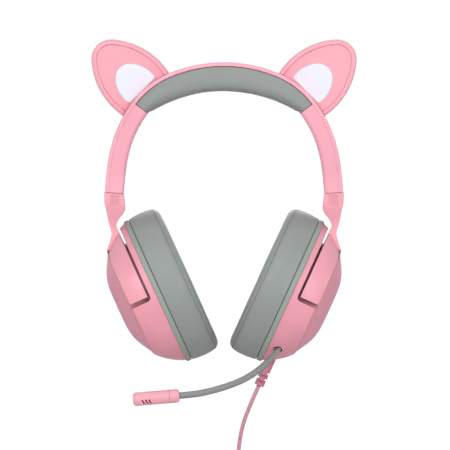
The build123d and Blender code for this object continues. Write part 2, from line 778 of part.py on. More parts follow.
    with BuildPart() as driver_frame:
        with BuildSketch(cup):
            Circle(DRIVER_RADIUS)
            Circle(DRIVER_RADIUS - 4, mode=Mode.SUBTRACT)
        extrude(amount=3.0)
        with BuildSketch(cup.offset(3.0)):
            Circle(DRIVER_RADIUS - 1)
            with PolarLocations(17.5, 8):
                Circle(2.6, mode=Mode.SUBTRACT)
        extrude(amount=1.2)
    save(driver_frame, f"driver_frame_{name}")

    with BuildPart() as driver_magnet:
        with BuildSketch(cup.offset(4.2)):
            Circle(MAGNET_RADIUS)
        extrude(amount=5.2)
        chamfer(driver_magnet.edges().sort_by(out_axis)[-1], 0.6)
    save(driver_magnet, f"driver_magnet_{name}")

    with BuildPart() as driver_diaphragm:
        with BuildSketch(cup.offset(1.0)):
            Circle(DRIVER_RADIUS - 4.1)
        extrude(amount=0.4)
        with BuildSketch(cup.offset(1.4)):
            Circle(9.0)
        extrude(amount=1.2, taper=35)
    save(driver_diaphragm, f"driver_diaphragm_{name}")

    with BuildPart() as cushion_screen:
        with BuildSketch(cup.offset(-BAFFLE_THICK - SCREEN_THICK)):
            Ellipse(46.0, 39.0)
        extrude(amount=SCREEN_THICK)
    save(cushion_screen, f"cushion_screen_{name}")

    with BuildPart() as cushion_ring:
        with BuildSketch(cup.offset(-LIP)):
            Ellipse(HOUSING_SECTIONS[0][1] + RING_PROUD, HOUSING_SECTIONS[0][2] + RING_PROUD)
            Ellipse(HOUSING_SECTIONS[0][1] - LIP_WALL, HOUSING_SECTIONS[0][2] - LIP_WALL, mode=Mode.SUBTRACT)
        extrude(amount=LIP)
        fillet(cushion_ring.edges().sort_by(Edge.length)[-2:], 0.8)
    save(cushion_ring, f"cushion_ring_{name}")

    with BuildPart() as ear_cushion:
        add(oval_loft(cup, CUSHION_SECTIONS))
        add(oval_loft(cup, OPENING_SECTIONS), mode=Mode.SUBTRACT)
    save(ear_cushion, f"ear_cushion_{name}")

# ------------------------------------------------------------------ wearer's left cup only


def tube_radii(route):
    """Largest arc that the two runs beside each corner of a route leave room for."""
    points = [Vector(*p) for p in route]
    radii = []
    for before, here, after in zip(points, points[1:], points[2:]):
        turn = radians((here - before).get_angle(after - here))
        radii.append(0.45 * min((here - before).length, (after - here).length) / tan(turn / 2))
    return radii


def tube(route, radius, label):
    """A round tube along straight runs joined by tangent arcs."""
    radii = tube_radii(route)
    with BuildPart() as body:
        with BuildLine() as path:
            if radii:
                FilletPolyline(*route, radius=radii)
            else:
                Line(*route)
        wire = path.wires()[0]
        with BuildSketch(Plane(wire @ 0, z_dir=wire % 0)):
            Circle(radius)
        sweep(path=wire)
    expected = pi * radius**2 * wire.length
    print(label, "length", round(wire.length, 1), "radii", [round(r, 1) for r in radii])
    print(label, "volume", round(body.part.volume, 1), "section times length", round(expected, 1))
    body.part.label = label
    export_step(body.part, f"parts/{label}.step")


LEFT = 1
cup = cup_plane(LEFT)
out_axis = Axis(cup.origin, cup.z_dir)

# ---------------- volume wheel on the potentiometer's shaft, through the rear wall
with BuildPart() as volume_wheel:
    with BuildSketch(height_plane(LEFT, *WHEEL_PLACE, WHEEL_LOW)):
        Circle(WHEEL_RADIUS)
        with PolarLocations(WHEEL_RADIUS + 0.15, 36):
            Circle(0.4, mode=Mode.SUBTRACT)
        Circle(SHAFT_RADIUS + PIN_CLEAR, mode=Mode.SUBTRACT)
    extrude(amount=WHEEL_THICK)
save(volume_wheel, "volume_wheel")

# ---------------- potentiometer under the wheel, its shaft through the wheel's bore
with BuildPart() as volume_pot:
    with BuildSketch(height_plane(LEFT, *WHEEL_PLACE, POT_LOW)):
        Circle(POT_RADIUS)
    extrude(amount=POT_HEIGHT)
    with BuildSketch(height_plane(LEFT, *WHEEL_PLACE, POT_LOW + POT_HEIGHT)):
        Circle(SHAFT_RADIUS)
    extrude(amount=WHEEL_LOW + WHEEL_THICK - POT_LOW - POT_HEIGHT)
    # its own small board
    with BuildSketch(height_plane(LEFT, WHEEL_PLACE[0] - 1.4, WHEEL_PLACE[1] - 1.5, POT_LOW - 1.0)):
        Rectangle(12, 9)
    extrude(amount=1.0)
save(volume_pot, "volume_pot")

# ---------------- main board with its chips
with BuildPart() as audio_board:
    with BuildSketch(cup.offset(13.2)):
        with Locations((0, 2)):
            RectangleRounded(40, 40, 3)
    extrude(amount=1.6)
    with BuildSketch(cup.offset(11.6)):
        with Locations((0, 6)):
            Rectangle(9, 9)
        with Locations((12, -8)):
            Rectangle(6, 8)
        with Locations((-10, -10)):
            Rectangle(8, 5)
    extrude(amount=1.6)
save(audio_board, "audio_board")

# ---------------- mute button with a retaining flange
button_spot = button_plane()
with BuildPart() as mute_button:
    with BuildSketch(button_spot.offset(-BUTTON_DEPTH)):
        Circle(BUTTON_RADIUS)
    extrude(amount=BUTTON_DEPTH + BUTTON_PROUD)
    fillet(mute_button.edges().sort_by(Axis(button_spot.origin, button_spot.z_dir))[-1], 0.5)
    with BuildSketch(button_spot.offset(-BUTTON_DEPTH)):
        Circle(BUTTON_RADIUS + 1.0)
    extrude(amount=BUTTON_FLANGE)
save(mute_button, "mute_button")

# ---------------- microphone: a lined socket, bendable boom and capsule
boom_spot = boom_plane()
boom_out = boom_spot.z_dir
with BuildPart() as mic_socket:
    with BuildSketch(boom_spot.offset(-SOCKET_DEPTH)):
        Circle(BOOM_HOLE + SOCKET_WALL)
        Circle(BOOM_HOLE, mode=Mode.SUBTRACT)
    extrude(amount=SOCKET_DEPTH - 0.6)
    with BuildSketch(boom_spot.offset(-SOCKET_DEPTH - 1.5)):
        Circle(BOOM_HOLE + SOCKET_WALL)
    extrude(amount=1.5)
save(mic_socket, "mic_socket")

boom_start = boom_spot.origin - boom_out * (SOCKET_DEPTH - 0.1)
boom_leave = boom_spot.origin + boom_out * 3.0
BOOM_ROUTE = (
    (boom_start.X, boom_start.Y, boom_start.Z),
    (boom_leave.X, boom_leave.Y, boom_leave.Z),
    (27.6, -40.2, -192.2),
    (16.2, -51.8, -200.1),
    (2.8, -61.4, -205.6),
    (-13.2, -67.6, -209.9),
    (-22.5, -68.9, -211.3),
    (-30.9, -69.5, -212.0),
)
tube(BOOM_ROUTE, BOOM_RADIUS, "mic_boom")

boom_end = Vector(*BOOM_ROUTE[-1])
capsule_out = (boom_end - Vector(*BOOM_ROUTE[-2])).normalized()
capsule_end = Plane(boom_end, x_dir=(0, 0, 1), z_dir=capsule_out)
with BuildPart() as mic_collar:
    with BuildSketch(capsule_end):
        Circle(CAPSULE_RADIUS)
    extrude(amount=COLLAR_LENGTH)
    fillet(mic_collar.edges().sort_by(Axis(boom_end, capsule_out))[0], 2.2)
    chamfer(mic_collar.edges().sort_by(Axis(boom_end, capsule_out))[-1], 0.35)
save(mic_collar, "mic_collar")

with BuildPart() as mic_capsule:
    with BuildSketch(capsule_end.offset(COLLAR_LENGTH)):
        Circle(CAPSULE_RADIUS)
    extrude(amount=CAPSULE_LENGTH)
    fillet(mic_capsule.edges().sort_by(Axis(boom_end, capsule_out))[-1], 2.4)
    with BuildSketch(capsule_end.offset(COLLAR_LENGTH)):
        Circle(CAPSULE_RADIUS - CAPSULE_WALL)
    extrude(amount=CAPSULE_LENGTH - 4.5, mode=Mode.SUBTRACT)
    # three slanted sound slots low on the front, facing the mouth side
    slot_face = Plane(
        boom_end + capsule_out * (COLLAR_LENGTH + 15.5), x_dir=capsule_out, z_dir=(0, -0.85, -0.53)
    )
    with BuildSketch(slot_face):
        with GridLocations(SLOT_STEP, 1, 3, 1):
            SlotOverall(*SLOT_SIZE, rotation=SLOT_LEAN)
    extrude(amount=CAPSULE_RADIUS + 1, mode=Mode.SUBTRACT)
save(mic_capsule, "mic_capsule")

with BuildPart() as mic_element:
    with BuildSketch(capsule_end.offset(COLLAR_LENGTH)):
        Circle(CAPSULE_RADIUS - 1.2)
    extrude(amount=6.0)
    with BuildSketch(capsule_end.offset(COLLAR_LENGTH + 6.0)):
        Circle(CAPSULE_RADIUS - 2.0)
    extrude(amount=6.0)
save(mic_element, "mic_element")

# ---------------- cable: notched strain relief, hanging run, tied coil, tail and plug
relief_low = cup_point(LEFT, RELIEF_START - RELIEF_INSIDE, 0, RELIEF_HEIGHT)
relief_base = Plane(relief_low, x_dir=(0, 1, 0), z_dir=cup.x_dir)
relief_length = RELIEF_END - RELIEF_START + RELIEF_INSIDE
with BuildPart() as strain_relief:
    with BuildSketch(relief_base):
        Circle(RELIEF_RADIUS + RELIEF_FLANGE)
    extrude(amount=1.6)
    with BuildSketch(relief_base):
        Circle(RELIEF_RADIUS)
    extrude(amount=relief_length)
    # pairs of slots, front and back and then left and right in turn, let the sleeve bend
    for number in range(RELIEF_SLOTS):
        quarter = 90 * (number % 2)
        with BuildSketch(relief_base.offset(relief_length - 3.6 - RELIEF_STEP * number)):
            with PolarLocations(RELIEF_WEB + 3, 2, start_angle=quarter):
                Rectangle(6, 4 * RELIEF_RADIUS)
        extrude(amount=RELIEF_SLOT, mode=Mode.SUBTRACT)
    with BuildSketch(relief_base.offset(-1)):
        Circle(CABLE_RADIUS)
    extrude(amount=relief_length + 2, mode=Mode.SUBTRACT)
save(strain_relief, "strain_relief")

entry = Vector(COIL_CENTRE[0] + COIL_LAYERS[-1], 0, COIL_CENTRE[2])
cable_start = cup_point(LEFT, RELIEF_END - 4.0, 0, RELIEF_HEIGHT)
CABLE_ROUTE = (
    cable_start,
    (17.6, 0.0, -221.0),
    (12.4, 0.0, -235.6),
    (9.9, 0.0, -252.0),
    (entry.X, entry.Y, entry.Z + 12.0),
)
tube(CABLE_ROUTE, CABLE_RADIUS, "usb_cable")

coil_low = COIL_LAYERS[0] - CABLE_RADIUS - 0.2
coil_high = COIL_LAYERS[-1] + CABLE_RADIUS + 0.2
coil_half = COIL_COLUMNS * COIL_PITCH / 2 + 0.1
coil_plane = Plane(COIL_CENTRE, x_dir=(1, 0, 0), z_dir=(0, -1, 0))
with BuildPart() as cable_coil:
    with BuildSketch(coil_plane):
        Circle(coil_high)
        Circle(coil_low, mode=Mode.SUBTRACT)
    extrude(amount=coil_half, both=True)
    fillet(cable_coil.edges().filter_by(GeomType.CIRCLE), 0.6)
save(cable_coil, "cable_coil")

with BuildPart() as cable_tie:
    tie_spot = Vector(*COIL_CENTRE) + Vector(-3.5, 0, (coil_low + coil_high) / 2)
    with BuildSketch(Plane(tie_spot, x_dir=(0, 1, 0), z_dir=(1, 0, 0))):
        RectangleRounded(2 * coil_half + 2.8, coil_high - coil_low + 3.6, 2.0)
        RectangleRounded(2 * coil_half + 0.6, coil_high - coil_low + 1.6, 1.0, mode=Mode.SUBTRACT)
    extrude(amount=7.0)
save(cable_tie, "cable_tie")

last_column = (COIL_COLUMNS - 1) * COIL_PITCH
tail_top = entry + Vector(0, last_column, 0)
TAIL_ROUTE = (
    (tail_top.X, tail_top.Y, tail_top.Z - 10.0),
    (tail_top.X, tail_top.Y, tail_top.Z - 10.0 - TAIL_LENGTH),
)
tube(TAIL_ROUTE, CABLE_RADIUS, "cable_tail")

plug_top = Plane(TAIL_ROUTE[-1], x_dir=(1, 0, 0), z_dir=(0, 0, -1))
with BuildPart() as usb_plug_body:
    with BuildSketch(plug_top.offset(5)):
        RectangleRounded(PLUG_BODY[0], PLUG_BODY[1], 2.2)
    extrude(amount=PLUG_BODY[2] - 5)
    with BuildSketch(plug_top):
        RectangleRounded(6.5, 5.0, 1.6)
    with BuildSketch(plug_top.offset(5)):
        RectangleRounded(PLUG_BODY[0] - 2, PLUG_BODY[1] - 2, 1.6)
    loft()
save(usb_plug_body, "usb_plug_body")

with BuildPart() as usb_plug_shell:
    with BuildSketch(plug_top.offset(PLUG_BODY[2])):
        RectangleRounded(PLUG_SHELL[0], PLUG_SHELL[1], 0.5)
        Rectangle(PLUG_SHELL[0] - 0.7, PLUG_SHELL[1] - 0.7, mode=Mode.SUBTRACT)
    extrude(amount=PLUG_SHELL[2])
    with BuildSketch(plug_top.offset(PLUG_BODY[2])):
        with Locations((0, (PLUG_SHELL[1] - 0.7) / 4)):
            Rectangle(PLUG_SHELL[0] - 0.7, (PLUG_SHELL[1] - 0.7) / 2)
    extrude(amount=PLUG_SHELL[2] - 1.5)
save(usb_plug_shell, "usb_plug_shell")
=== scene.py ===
import math
from itertools import accumulate

import bmesh
import bpy
import numpy as np
from mathutils import Matrix, Vector, noise
from mathutils.bvhtree import BVHTree


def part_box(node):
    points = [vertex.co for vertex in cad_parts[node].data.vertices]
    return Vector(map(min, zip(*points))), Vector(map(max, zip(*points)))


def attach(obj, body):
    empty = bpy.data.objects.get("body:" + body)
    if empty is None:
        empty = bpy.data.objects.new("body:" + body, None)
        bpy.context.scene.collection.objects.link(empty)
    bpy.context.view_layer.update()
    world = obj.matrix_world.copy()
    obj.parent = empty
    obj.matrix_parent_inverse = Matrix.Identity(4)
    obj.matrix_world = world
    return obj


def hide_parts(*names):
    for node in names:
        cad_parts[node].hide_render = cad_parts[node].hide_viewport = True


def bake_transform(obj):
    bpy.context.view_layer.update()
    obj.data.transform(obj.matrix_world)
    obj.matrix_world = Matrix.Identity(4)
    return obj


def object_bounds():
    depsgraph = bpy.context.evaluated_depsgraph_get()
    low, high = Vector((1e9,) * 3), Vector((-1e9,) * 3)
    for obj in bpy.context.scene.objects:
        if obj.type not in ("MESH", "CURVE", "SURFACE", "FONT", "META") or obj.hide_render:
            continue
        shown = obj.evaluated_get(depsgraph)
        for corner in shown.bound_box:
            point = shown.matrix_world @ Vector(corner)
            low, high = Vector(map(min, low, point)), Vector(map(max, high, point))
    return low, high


# Gaming headset: the materials, padded pieces, cable, boom and studio around its CAD parts.
# Lengths are in metres, or in millimetres where they are multiplied by MM.
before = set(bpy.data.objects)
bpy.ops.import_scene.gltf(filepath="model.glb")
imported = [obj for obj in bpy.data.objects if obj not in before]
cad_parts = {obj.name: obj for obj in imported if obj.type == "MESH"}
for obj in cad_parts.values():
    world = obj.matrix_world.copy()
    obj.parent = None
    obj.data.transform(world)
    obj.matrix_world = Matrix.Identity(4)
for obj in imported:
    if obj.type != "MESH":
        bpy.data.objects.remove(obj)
cad_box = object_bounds()
scene = bpy.context.scene
MM = 0.001

# ------------------------------------------------------------------ camera
# a long lens from far off: the view is nearly parallel
CENTRE = Vector((0.0007, 0.0, -0.09375))
DISTANCE = 7.0
LENS = 800.0
SENSOR = 36.0
CLIP_END = 50.0

camera_data = bpy.data.cameras.new("camera")
camera_data.lens = LENS
camera_data.sensor_width = SENSOR
camera_data.clip_end = CLIP_END
camera = bpy.data.objects.new("camera", camera_data)
scene.collection.objects.link(camera)
camera.location = CENTRE + Vector((0, -DISTANCE, 0))
camera.rotation_euler = (math.pi / 2, 0, 0)
scene.camera = camera


# ------------------------------------------------------------------ building meshes
def link(name, data):
    """A new object with this data, in the scene."""
    obj = bpy.data.objects.new(name, data)
    scene.collection.objects.link(obj)
    return obj


def shade_smooth(mesh):
    for face in mesh.polygons:
        face.use_smooth = True


def built(name, bm):
    """A new object with the mesh built so far."""
    mesh = bpy.data.meshes.new(name)
    bm.to_mesh(mesh)
    bm.free()
    return link(name, mesh)


def bridge(bm, rings, closed):
    """Joins each ring of vertices to the next, and the last to the first if the row is closed."""
    size = len(rings[0])
    for first, second in list(zip(rings, rings[1:])) + ([(rings[-1], rings[0])] if closed else []):
        for step in range(size):
            after = (step + 1) % size
            bm.faces.new((first[step], first[after], second[after], second[step]))


def nurbs(name, points):
    """A smooth curve with these points as its control points."""
    curve = bpy.data.curves.new(name, "CURVE")
    curve.dimensions = "3D"
    spline = curve.splines.new("NURBS")
    spline.points.add(len(points) - 1)
    for spot, point in zip(spline.points, points):
        spot.co = (*point, 1.0)
    spline.order_u = 3
    spline.use_endpoint_u = True
    return link(name, curve)


def spline_points(points, resolution=12):
    """Points along the NURBS spline that has these control points."""
    guide = nurbs("guide", points)
    guide.data.resolution_u = resolution
    mesh = bpy.data.meshes.new_from_object(guide)
    line = [v.co.copy() for v in mesh.vertices]
    bpy.data.objects.remove(guide)
    bpy.data.meshes.remove(mesh)
    return line


def tube(name, line, radius, sides=20, closed=False):
    """A round tube along a line, with a radius that may depend on the distance run.

    Its UV map named run holds the distance along the tube and the share of a turn around it.
    """
    bm = bmesh.new()
    count = len(line)
    distances = list(accumulate([0.0] + [(b - a).length for a, b in zip(line, line[1:])]))
    up = Vector((0.0, 0.0, 1.0))
    rings = []
    places = {}
    for number, point in enumerate(line):
        before = line[number - 1] if number or closed else line[0]
        after = line[(number + 1) % count] if number + 1 < count or closed else line[-1]
        way = (after - before).normalized()
        up = (up - way * up.dot(way)).normalized()
        across = way.cross(up)
        size = radius(distances[number]) if callable(radius) else radius
        ring = []
        for step in range(sides):
            angle = 2 * math.pi * step / sides
            vertex = bm.verts.new(point + (up * math.cos(angle) + across * math.sin(angle)) * size)
            places[vertex] = (distances[number], step / sides)
            ring.append(vertex)
        rings.append(ring)
    bridge(bm, rings, closed)
    if not closed:
        bm.faces.new(rings[0][::-1])
        bm.faces.new(rings[-1])
    layer = bm.loops.layers.uv.new("run")
    for face in bm.faces:
        if len(face.verts) != 4:
            continue
        last_strip = max(places[v][1] for v in face.verts) > 0.5
        for loop in face.loops:
            along, turn = places[loop.vert]
            loop[layer].uv = (along, 1.0 if turn == 0 and last_strip else turn)
    bmesh.ops.recalc_face_normals(bm, faces=bm.faces)
    obj = built(name, bm)
    shade_smooth(obj.data)
    return obj


def skin(name, rows, closed):
    """A skin over rows of points, each row a closed loop; the rows close up or are capped."""
    bm = bmesh.new()
    rings = [[bm.verts.new(point) for point in row] for row in rows]
    bridge(bm, rings, closed)
    if not closed:
        bm.faces.new(rings[0])
        bm.faces.new(rings[-1])
    bmesh.ops.recalc_face_normals(bm, faces=bm.faces)
    return built(name, bm)


def even(line, step):
    """The same line, with its points a fixed distance apart."""
    points = np.array([tuple(p) for p in line])
    gaps = np.linalg.norm(np.diff(points, axis=0), axis=1)
    run = np.concatenate(([0.0], np.cumsum(gaps)))
    marks = np.linspace(0, run[-1], max(2, int(run[-1] / step)))
    return [Vector([float(np.interp(m, run, points[:, k])) for k in range(3)]) for m in marks]


# ------------------------------------------------------------------ the USB lead
LEAD_RADIUS = 1.4 * MM
RUN = [
    (0.02603, 0.0, -0.20242),
    (0.0176, 0.0, -0.2210),
    (0.0124, 0.0, -0.2356),
    (0.0099, 0.0, -0.2520),
    (0.0095, 0.0, -0.2700),
]
TAIL = [(0.0095, 0.01475, -0.2920), (0.0095, 0.01475, -0.3040), (0.0095, 0.01475, -0.3160)]
COIL_MIDDLE = Vector((-0.0103, 0.0, -0.2820))
COIL_LAYERS = (0.0140, 0.0169, 0.0198)
COIL_COLUMNS = 6
COIL_PITCH = 2.95 * MM
COIL_STEPS = 14  # points to a turn
COIL_CROSSING = 0.6  # share of a turn after which the lead crosses over to its next place


def coil_points():
    """Turns wound column by column, out and back through the layers, entered going down."""
    points = []
    order = []
    for column in range(COIL_COLUMNS):
        rings = COIL_LAYERS[::-1] if column % 2 == 0 else COIL_LAYERS
        for ring in rings:
            order.append((ring, column * COIL_PITCH))
    turns = len(order)
    for number, (ring, depth) in enumerate(order):
        after = order[min(number + 1, turns - 1)]
        for step in range(COIL_STEPS):
            share = step / COIL_STEPS
            ease = max(0.0, (share - COIL_CROSSING) / (1 - COIL_CROSSING))
            ease = ease * ease * (3 - 2 * ease)
            radius = ring + (after[0] - ring) * ease
            y = depth + (after[1] - depth) * ease
            angle = -2 * math.pi * share
            x = COIL_MIDDLE.x + radius * math.cos(angle)
            z = COIL_MIDDLE.z + radius * math.sin(angle)
            points.append((x, y, z))
    last_ring, last_depth = order[-1]
    points.append((COIL_MIDDLE.x + last_ring, last_depth, COIL_MIDDLE.z))
    return points


lead_line = spline_points(RUN + coil_points() + TAIL, resolution=4)
lead = tube("usb_lead", lead_line, LEAD_RADIUS, sides=14)
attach(lead, "cup_left")
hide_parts("usb_cable", "cable_coil", "cable_tail")

# ------------------------------------------------------------------ the boom's route
# from inside the cup to inside the microphone; the bore of the socket lies along its start
BOOM_ROUTE = [
    (0.04343, -0.01936, -0.17408),
    (0.03658, -0.02658, -0.18228),
    (0.02760, -0.04020, -0.19220),
    (0.01620, -0.05180, -0.20010),
    (0.00280, -0.06140, -0.20560),
    (-0.01320, -0.06760, -0.20990),
    (-0.02250, -0.06890, -0.21130),
    (-0.03090, -0.06950, -0.21200),
]
SOCKET_BORE = 2.6 * MM

# ------------------------------------------------------------------ the cups' own axes
LEAN = math.radians(24.5)
SIDES = {"left": 1, "right": -1}
SCREEN_TO_JOINT = 2.8  # mm, from the middle of the cloth screen to the cushion's joint


def cup_axes(name, side):
    """Middle of the cushion joint, down the cup, front to back, and outwards."""
    low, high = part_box(f"cushion_screen_{name}")
    out = Vector((side * math.cos(LEAN), 0, -math.sin(LEAN)))
    down = Vector((-side * math.sin(LEAN), 0, -math.cos(LEAN)))
    middle = (low + high) / 2 + out * SCREEN_TO_JOINT * MM
    return middle, down, Vector((0, 1, 0)), out


# ------------------------------------------------------------------ materials
MIX_SOCKETS = (0, 6, 7)  # the factor and the two colours of a Mix node
BEVEL_SAMPLES = 4
SKY_SAMPLES = 6
EDGE_SHADE_TINT = (1.0, 0.9, 0.93)  # the painted shade at a pink part's edges leans a little towards red
EDGE_BENDS = (0.72, 0.985)  # cosines between which the painted edge shade fades out
HOLE_GRID = (620.0, 358.0)  # the domes' holes per metre, along and across their rows
HOLE_STRETCH = 1.732  # makes round holes of the grid's long cells


def linear(colour):
    """Linear light from an sRGB colour of 0 to 255."""
    return tuple(
        c / 255 / 12.92 if c / 255 <= 0.04045 else ((c / 255 + 0.055) / 1.055) ** 2.4 for c in colour
    )


def scaled(colour, factor):
    return tuple(c * factor for c in colour)


class Surface:
    """A Principled material built up from procedural textures in object space, scales per metre."""

    def __init__(self, name):
        self.material = bpy.data.materials.new(name)
        self.material.use_nodes = True
        self.nodes = self.material.node_tree.nodes
        self.links = self.material.node_tree.links
        self.shader = self.nodes["Principled BSDF"]
        self.place = self.nodes.new("ShaderNodeTexCoord").outputs["Object"]
        self.normal = None

    def feed(self, socket, value):
        """Links a socket to another one, or sets its constant."""
        if isinstance(value, bpy.types.NodeSocket):
            self.links.new(value, socket)
        elif socket.type == "RGBA" and len(value) == 3:
            socket.default_value = (*value, 1.0)
        else:
            socket.default_value = value

    def node(self, kind, inputs=(), **settings):
        """A new node with these inputs, by name or number, and settings."""
        made = self.nodes.new(kind)
        for key, value in settings.items():
            setattr(made, key, value)
        for key, value in dict(inputs).items():
            self.feed(made.inputs[key], value)
        return made

    def noise(self, scale, detail=3.0, rough=0.55, place=None):
        inputs = {"Vector": place or self.place, "Scale": scale, "Detail": detail, "Roughness": rough}
        return self.node("ShaderNodeTexNoise", inputs).outputs["Fac"]

    def spread(self, value, low, high, start=0.0, end=1.0):
        """Maps start to end onto low to high, clamped."""
        inputs = {"Value": value, "From Min": start, "From Max": end, "To Min": low, "To Max": high}
        return self.node("ShaderNodeMapRange", inputs).outputs["Result"]

    def maths(self, operation, first, second=0.0):
        """Result of a Math node."""
        return self.node("ShaderNodeMath", {0: first, 1: second}, operation=operation).outputs[0]

    def vector(self, operation, output, first, second=(0.0, 0.0, 0.0)):
        """Named output of a Vector Math node."""
        made = self.node("ShaderNodeVectorMath", {0: first, 1: second}, operation=operation)
        return made.outputs[output]

    def mix(self, share, first, second, blend="MIX"):
        """The first colour where the share is 0, the second where it is 1."""
        made = self.node("ShaderNodeMix", data_type="RGBA", blend_type=blend)
        for place, value in zip(MIX_SOCKETS, (share, first, second)):
            self.feed(made.inputs[place], value)
        return made.outputs[2]

    def turned(self, rotation, scale=(1, 1, 1)):
        """Object coordinates, turned and scaled."""
        inputs = {"Vector": self.place, "Rotation": rotation, "Scale": scale}
        return self.node("ShaderNodeMapping", inputs).outputs["Vector"]

    def soften(self, radius):
        """Rounds the sharp edges that every moulding has."""
        round_off = self.node("ShaderNodeBevel", {"Radius": radius}, samples=BEVEL_SAMPLES)
        self.normal = round_off.outputs["Normal"]

    def edges(self, radius, colour, shade):
        """Softens the edges and paints the shade that falls in the fine gap along a part's edge."""
        self.soften(radius)
        flat = self.node("ShaderNodeNewGeometry").outputs["Normal"]
        bend = self.vector("DOT_PRODUCT", "Value", self.normal, flat)
        share = self.spread(bend, 0.0, 1.0, *EDGE_BENDS)
        # painted shade at the edge, deepest where the softened normal bends furthest from the flat one
        dark = self.mix(1.0, colour, scaled(EDGE_SHADE_TINT, shade), "MULTIPLY")
        return self.mix(share, dark, colour)

    def painted_crevice_shade(self, colour, deep, reach, start, end):
        """Paints shade into crevices: fades a colour to a deep one as the open share of the sky falls
        from end to start.
        """
        cover = self.node("ShaderNodeAmbientOcclusion", {"Distance": reach}, samples=SKY_SAMPLES)
        return self.mix(self.spread(cover.outputs["AO"], 0.0, 1.0, start, end), deep, colour)

    def bump(self, height, distance, strength=1.0):
        """Adds a relief on top of those so far."""
        inputs = {"Height": height, "Distance": distance, "Strength": strength}
        if self.normal is not None:
            inputs["Normal"] = self.normal
        self.normal = self.node("ShaderNodeBump", inputs).outputs["Normal"]

    def set(self, **values):
        """Feeds the shader's inputs, named with _ for a space."""
        for key, value in values.items():
            self.feed(self.shader.inputs[key.replace("_", " ")], value)

    def done(self):
        """The finished material."""
        if self.normal is not None:
            self.links.new(self.normal, self.shader.inputs["Normal"])
        return self.material


def moulded(name, colour, rough=(0.36, 0.48), grain=2200.0, depth=0.012, edge=0.45, coat=0.0, edge_shade=0.55):
    """Moulded plastic: faint flow marks, fine spark grain, softened edges with painted shade along them,
    painted shade in crevices.
    """
    s = Surface(name)
    base = linear(colour)
    flow = s.spread(s.noise(22.0, 4.0), 0.0, 1.0, 0.35, 0.65)
    tone = s.edges(edge * MM, s.mix(flow, scaled(base, 0.93), base), edge_shade)
    # painted shade in crevices and slots, from how much of the sky is open
    s.set(Base_Color=s.painted_crevice_shade(tone, scaled(base, 0.36), 6 * MM, 0.08, 0.52))
    s.set(Roughness=s.spread(s.noise(90.0, 5.0), *rough))
    s.bump(s.noise(grain, 2.0), depth * MM, 0.35)
    s.bump(s.noise(28.0, 2.0), 0.05 * MM, 0.25)
    if coat:
        s.set(Coat_Weight=coat, Coat_Roughness=0.25)
    return s.done()


def metal(name, colour, rough=(0.25, 0.4), brush=(900.0, 60.0, 60.0)):
    """Rolled or turned metal with fine brush lines."""
    s = Surface(name)
    base = linear(colour)
    lines = s.noise(1.0, 4.0, place=s.turned((0, 0, 0), brush))
    s.set(Base_Color=s.mix(lines, scaled(base, 0.8), base), Metallic=1.0)
    s.set(Roughness=s.spread(lines, *rough))
    s.soften(0.15 * MM)
    s.bump(lines, 0.01 * MM, 0.4)
    return s.done()


def leatherette(name, colour, shade=0.86):
    """Soft coated fabric: pebble grain, creases between the pebbles, a slight sheen."""
    s = Surface(name)
    base = linear(colour)
    inputs = {"Vector": s.place, "Scale": 1150.0, "Randomness": 0.9}
    cells = s.node("ShaderNodeTexVoronoi", inputs, feature="DISTANCE_TO_EDGE").outputs["Distance"]
    crease = s.spread(cells, 0.0, 1.0, 0.0, 0.12)
    cloud = s.spread(s.noise(35.0, 4.0), 0.0, 1.0, 0.3, 0.7)
    tone = s.mix(cloud, scaled(base, 0.95), base)
    s.set(Base_Color=s.mix(crease, scaled(base, shade), tone))
    s.set(Roughness=s.spread(s.noise(240.0, 4.0), 0.48, 0.62))
    s.set(Sheen_Weight=0.05, Sheen_Roughness=0.45, Coat_Weight=0.15, Coat_Roughness=0.42)
    s.bump(crease, 0.045 * MM, 0.6)
    s.bump(s.noise(150.0, 4.0), 0.12 * MM, 0.35)
    return s.done()


def knitted(name, colour, pitch, turn=(0, 0, 0)):
    """Open woven or knitted cloth: two crossed sets of yarns with gaps between them."""
    s = Surface(name)
    base = linear(colour)
    scale = 0.159 * 2 * math.pi / pitch
    inputs = {"Vector": s.turned(turn), "Scale": scale, "Distortion": 0.4, "Detail": 1.0}
    waves = []
    for direction in ("X", "Y"):
        wave = s.node("ShaderNodeTexWave", inputs, wave_type="BANDS", bands_direction=direction)
        waves.append(wave.outputs["Fac"])
    cloth = s.maths("MAXIMUM", *waves)
    s.set(Base_Color=s.mix(cloth, scaled(base, 0.35), base))
    s.set(Roughness=s.spread(s.noise(400.0), 0.8, 0.95), Sheen_Weight=0.4, Sheen_Roughness=0.5)
    s.bump(cloth, 0.15 * MM, 0.8)
    return s.done()


def perforated(name, colour, side):
    """The dome's skin: rows of small blind holes, seen square on from outside the cup."""
    s = Surface(name)
    base = linear(colour)
    place = s.turned((0, -side * (math.pi / 2 + LEAN), 0))
    distances = []
    for shift in (0.0, 0.5):
        inputs = {"Vector": place, "Scale": (*HOLE_GRID, 0.0), "Location": (shift, shift, 0.0)}
        moved = s.node("ShaderNodeMapping", inputs).outputs["Vector"]
        cell = s.vector("FRACTION", "Vector", moved)
        middle = s.vector("SUBTRACT", "Vector", cell, (0.5, 0.5, 0.0))
        wide = s.vector("MULTIPLY", "Vector", middle, (1.0, HOLE_STRETCH, 0.0))
        distances.append(s.vector("LENGTH", "Value", wide))
    dot = s.spread(s.maths("MINIMUM", *distances), 0.0, 1.0, 0.18, 0.30)
    tone = s.mix(s.noise(30.0, 4.0), scaled(base, 0.94), base)
    s.set(Base_Color=s.mix(dot, scaled(base, 0.60), tone))
    s.set(Roughness=s.spread(s.noise(90.0), 0.42, 0.52))
    s.soften(0.4 * MM)
    s.bump(dot, 0.2 * MM, 0.5)
    return s.done()


